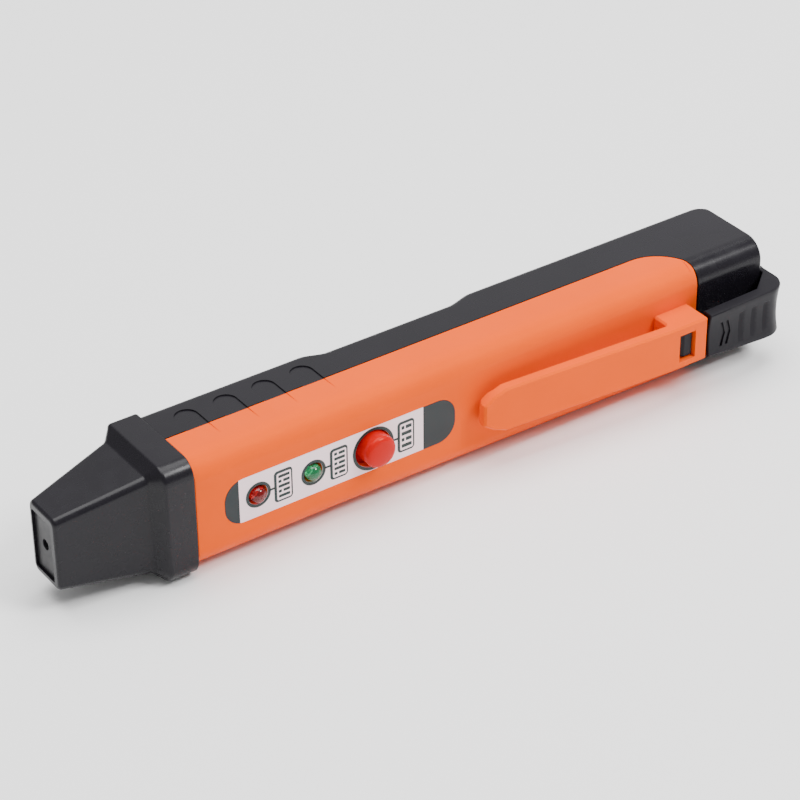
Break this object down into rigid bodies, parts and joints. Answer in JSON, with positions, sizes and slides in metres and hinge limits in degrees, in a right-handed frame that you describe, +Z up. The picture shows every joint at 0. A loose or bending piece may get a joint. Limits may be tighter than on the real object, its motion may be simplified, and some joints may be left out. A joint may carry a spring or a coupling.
{
  "type": "magnetic pole tester pen",
  "caption": "Pen-shaped hand tester with a tapered sensing nose, indicator lamps, a test button, a pocket clip and a latched battery tray.",
  "frame": {"origin": "bottom centre of the box of the whole pen as it lies on its side", "axes": "+X along the pen from the sensing nose to the battery door, -Y out of the face with the lamps, the button and the clip, +Z up through the pen's side"},
  "size_m": [0.1454, 0.024, 0.0229],
  "materials": {
    "orange_shell": "satin, fine moulded texture",
    "black_shell": "satin, fine moulded texture",
    "black_trim": "satin",
    "label_film": "printed film",
    "red_lens": "translucent",
    "green_lens": "translucent",
    "button_red": "satin gloss",
    "white_nylon": "matte",
    "board_green": "solder mask",
    "chip_black": "matte epoxy",
    "ceramic_tan": "ceramic",
    "tinned_metal": "tinned",
    "spring_steel": "drawn wire",
    "contact_brass": "rolled sheet",
    "cell_wrap": "shrink sleeve",
    "wire_red": "insulation",
    "wire_black": "insulation",
    "screw_steel": "zinc plated"
  },
  "bodies": {
    "root": {"front_shell": "orange_shell", "rear_shell": "black_shell", "nose_cap": "black_shell", "tip_plate": "black_trim", "label_plate": "label_film", "led_red": "red_lens", "led_green": "green_lens", "led_leads": "tinned_metal", "led_spacers": "white_nylon", "main_board": "board_green", "hall_sensor": "chip_black", "sensor_leads": "tinned_metal", "comparator_chip": "chip_black", "chip_pins": "tinned_metal", "chip_resistors": "chip_black", "chip_capacitors": "ceramic_tan", "switch_housing": "chip_black", "switch_pins": "tinned_metal", "button_spring": "spring_steel", "positive_contact": "contact_brass", "side_strip": "contact_brass", "red_lead": "wire_red", "black_lead": "wire_black", "shell_screw": "screw_steel", "board_screws": "screw_steel"},
    "button": {"test_button": "button_red", "switch_plunger": "chip_black"},
    "door": {"battery_door": "black_shell", "battery_cell": "cell_wrap", "cell_terminals": "tinned_metal", "negative_plate": "contact_brass", "negative_spring": "spring_steel"},
    "latch": {"door_latch": "black_shell"},
    "clip": {"pocket_clip": "orange_shell"}
  },
  "joints": [
    {"name": "button_press", "type": "slide", "parent": "root", "child": "button", "axis": [0, 1, 0], "range_m": [0, 0.001], "stiffness_N_per_m": 1500, "springref_m": -0.0004, "deforming": ["button_spring"]},
    {"name": "door_slide", "type": "slide", "parent": "root", "child": "door", "axis": [1, 0, 0], "range_m": [0, 0.06]},
    {"name": "latch_press", "type": "hinge", "parent": "door", "child": "latch", "pos_m": [0.07203, -0.00443, 0.0115], "axis": [0, 0, -1], "range_deg": [0, 5], "stiffness_Nm_per_rad": 1.2, "springref_deg": -1.15},
    {"name": "clip_flex", "type": "hinge", "parent": "root", "child": "clip", "pos_m": [0.04593, -0.01202, 0.0115], "axis": [0, 0, 1], "range_deg": [0, 4], "stiffness_Nm_per_rad": 3, "springref_deg": -1.15}
  ]
}
